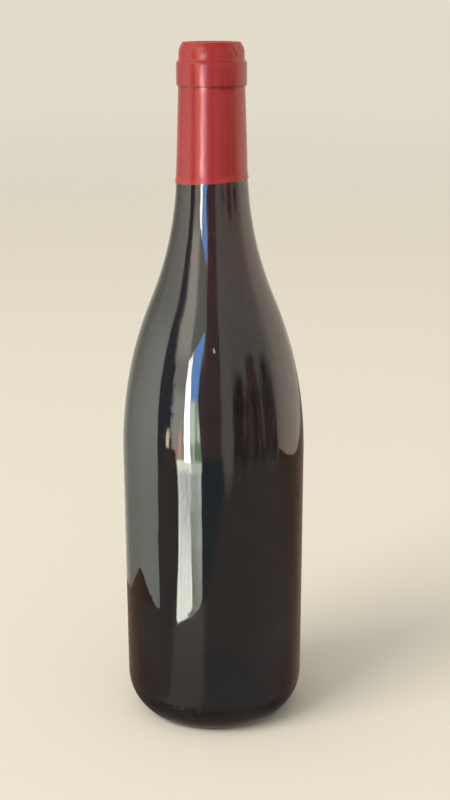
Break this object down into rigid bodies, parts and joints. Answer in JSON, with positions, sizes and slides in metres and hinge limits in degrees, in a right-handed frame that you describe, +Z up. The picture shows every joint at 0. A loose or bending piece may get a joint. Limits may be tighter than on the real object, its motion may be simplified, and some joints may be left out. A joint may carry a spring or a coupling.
{
  "type": "wine bottle",
  "caption": "Full, shut bottle of red wine in dark glass, with sloping shoulders, a hollowed base and a red capsule over the mouth and neck.",
  "frame": {"origin": "on the bottle's axis, in the plane of the ring that it stands on", "axes": "+Z up along the bottle's axis; +X and +Y are any two level directions, since the bottle is round, and the picture is seen along +Y"},
  "size_m": [0.0812, 0.0812, 0.302],
  "materials": {
    "dark_glass": "smooth, glossy, near-black brown-green bottle glass",
    "red_wine": "dark red wine, seen through the glass",
    "red_capsule": "satin red lacquered foil, slightly creased round the lip"
  },
  "bodies": {
    "root": {"glass_bottle": "dark_glass", "wine": "red_wine", "capsule": "red_capsule"}
  },
  "joints": []
}
